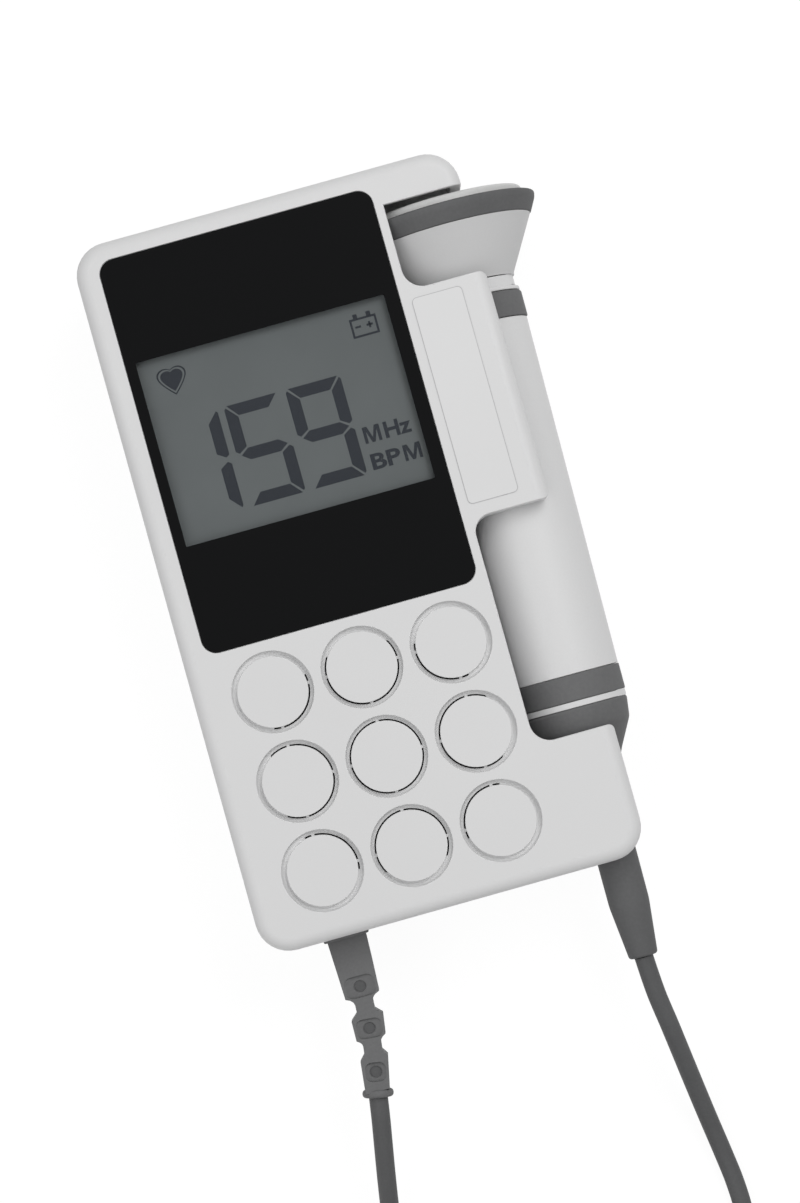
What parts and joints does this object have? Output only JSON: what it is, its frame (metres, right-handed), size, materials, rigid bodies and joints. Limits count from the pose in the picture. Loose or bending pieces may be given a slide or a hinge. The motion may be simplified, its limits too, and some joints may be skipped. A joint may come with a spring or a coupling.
{
  "type": "fetal doppler monitor",
  "caption": "Hand-held ultrasound heart-rate monitor with display, round-slit speaker grille, side keys and a corded pencil probe stowed in an open channel along its right side",
  "frame": {"origin": "on the flat back of the case, in the middle of the case outline, where the unit rests on a table", "axes": "+X to the unit's right side, where the probe lies; +Y to the top end with the display and the probe's head; +Z out of the face"},
  "size_m": [0.0906, 0.2783, 0.0373],
  "materials": {
    "case_plastic": "fine matte light-grey moulded ABS",
    "probe_plastic": "fine matte light-grey moulded ABS",
    "black_panel": "satin black printed polycarbonate film",
    "clear_lens": "clear hard-coated acrylic",
    "lcd_cell": "grey polariser film",
    "light_guide": "white diffusing acrylic",
    "pink_elastomer": "silicone elastomer connector",
    "circuit_board": "green solder mask",
    "black_plastic": "black moulded plastic",
    "capacitor_sleeve": "shrunk plastic sleeve",
    "screw_steel": "plated steel",
    "connector_nylon": "natural nylon",
    "lead_rubber": "satin grey flexible vinyl sheath",
    "grey_rubber": "satin dark-grey rubber",
    "speaker_paper": "pressed paper pulp",
    "magnet": "coated ferrite",
    "black_foam": "closed-cell foam",
    "black_cloth": "fine woven dust cloth",
    "cell_sleeve": "plain shrunk sleeve",
    "contact_nickel": "nickel-plated spring steel",
    "label_film": "blank satin sticker",
    "key_plastic": "matte grey moulded plastic",
    "membrane": "smooth white acoustic face",
    "crystal": "sintered ceramic",
    "backing": "loaded epoxy"
  },
  "bodies": {
    "unit": {"front_case": "case_plastic", "rear_case": "case_plastic", "display_overlay": "black_panel", "display_lens": "clear_lens", "lcd_glass": "lcd_cell", "lcd_backlight": "light_guide", "lcd_frame": "light_guide", "zebra_strips": "pink_elastomer", "main_board": "circuit_board", "board_chips": "black_plastic", "board_capacitors": "capacitor_sleeve", "board_screws": "screw_steel", "key_switches": "black_plastic", "headphone_socket": "black_plastic", "lead_connector": "connector_nylon", "inner_lead": "lead_rubber", "speaker_frame": "screw_steel", "speaker_cone": "speaker_paper", "speaker_magnet": "magnet", "speaker_gasket": "black_foam", "grille_cloth": "black_cloth", "battery_cells": "cell_sleeve", "battery_contacts": "contact_nickel", "case_screws": "screw_steel", "clip_label": "label_film", "lead_strain_relief": "grey_rubber", "lead_unit_run": "lead_rubber", "lead_coil": "lead_rubber", "lead_probe_run": "lead_rubber", "lead_ties": "black_plastic"},
    "battery_door": {"battery_door": "case_plastic"},
    "power_key": {"power_key": "key_plastic"},
    "volume_up_key": {"volume_up_key": "key_plastic"},
    "volume_down_key": {"volume_down_key": "key_plastic"},
    "probe": {"face_membrane": "membrane", "head_bumper": "grey_rubber", "probe_head": "probe_plastic", "transducer_crystals": "crystal", "crystal_backing": "backing", "probe_neck": "probe_plastic", "upper_grip_ring": "grey_rubber", "probe_handle": "probe_plastic", "lower_grip_ring": "grey_rubber", "tail_spacer": "probe_plastic", "end_cap": "grey_rubber", "tail_boot": "grey_rubber", "probe_board": "circuit_board"}
  },
  "joints": [
    {"name": "probe_out", "type": "slide", "parent": "unit", "child": "probe", "axis": [1, 0, 0], "range_m": [0, 0.045]},
    {"name": "door_off", "type": "slide", "parent": "unit", "child": "battery_door", "axis": [0, 1, 0], "range_m": [0, 0.06]},
    {"name": "power_press", "type": "slide", "parent": "unit", "child": "power_key", "axis": [1, 0, 0], "range_m": [0, 0.0005], "stiffness_N_per_m": 2000},
    {"name": "volume_up_press", "type": "slide", "parent": "unit", "child": "volume_up_key", "axis": [1, 0, 0], "range_m": [0, 0.0005], "stiffness_N_per_m": 2000},
    {"name": "volume_down_press", "type": "slide", "parent": "unit", "child": "volume_down_key", "axis": [1, 0, 0], "range_m": [0, 0.0005], "stiffness_N_per_m": 2000}
  ]
}
